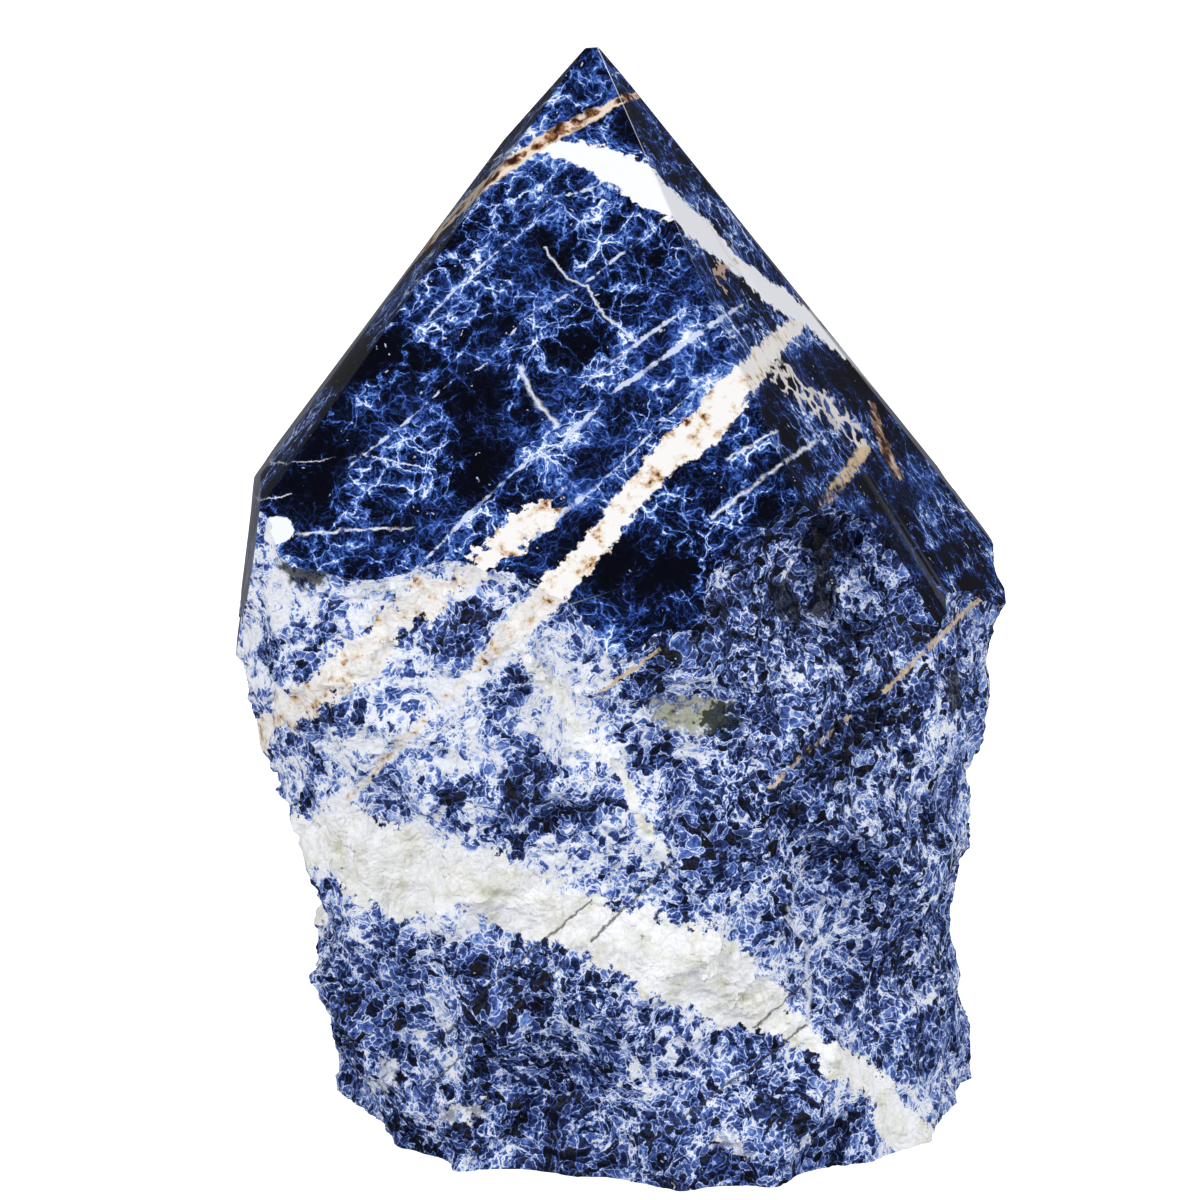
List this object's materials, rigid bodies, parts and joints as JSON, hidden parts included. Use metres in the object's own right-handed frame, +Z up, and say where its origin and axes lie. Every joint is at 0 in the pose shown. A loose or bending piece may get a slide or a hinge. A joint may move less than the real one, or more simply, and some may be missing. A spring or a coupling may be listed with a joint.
{
  "type": "polished-top sodalite point",
  "caption": "Broken lump of blue sodalite with white veins, ground and polished to a flat-faced tip and sawn flat below, to stand upright.",
  "frame": {"origin": "middle of the footprint, on the surface that the sawn base rests on", "axes": "+Z up through the stone to its tip, -Y out of the widest polished face, +X to the right of it"},
  "size_m": [0.0708, 0.0658, 0.0982],
  "materials": {
    "sodalite": "blue with white veins; polished on the flat upper faces, broken and rough on the sides"
  },
  "bodies": {
    "root": {"sodalite_point": "sodalite"}
  },
  "joints": []
}
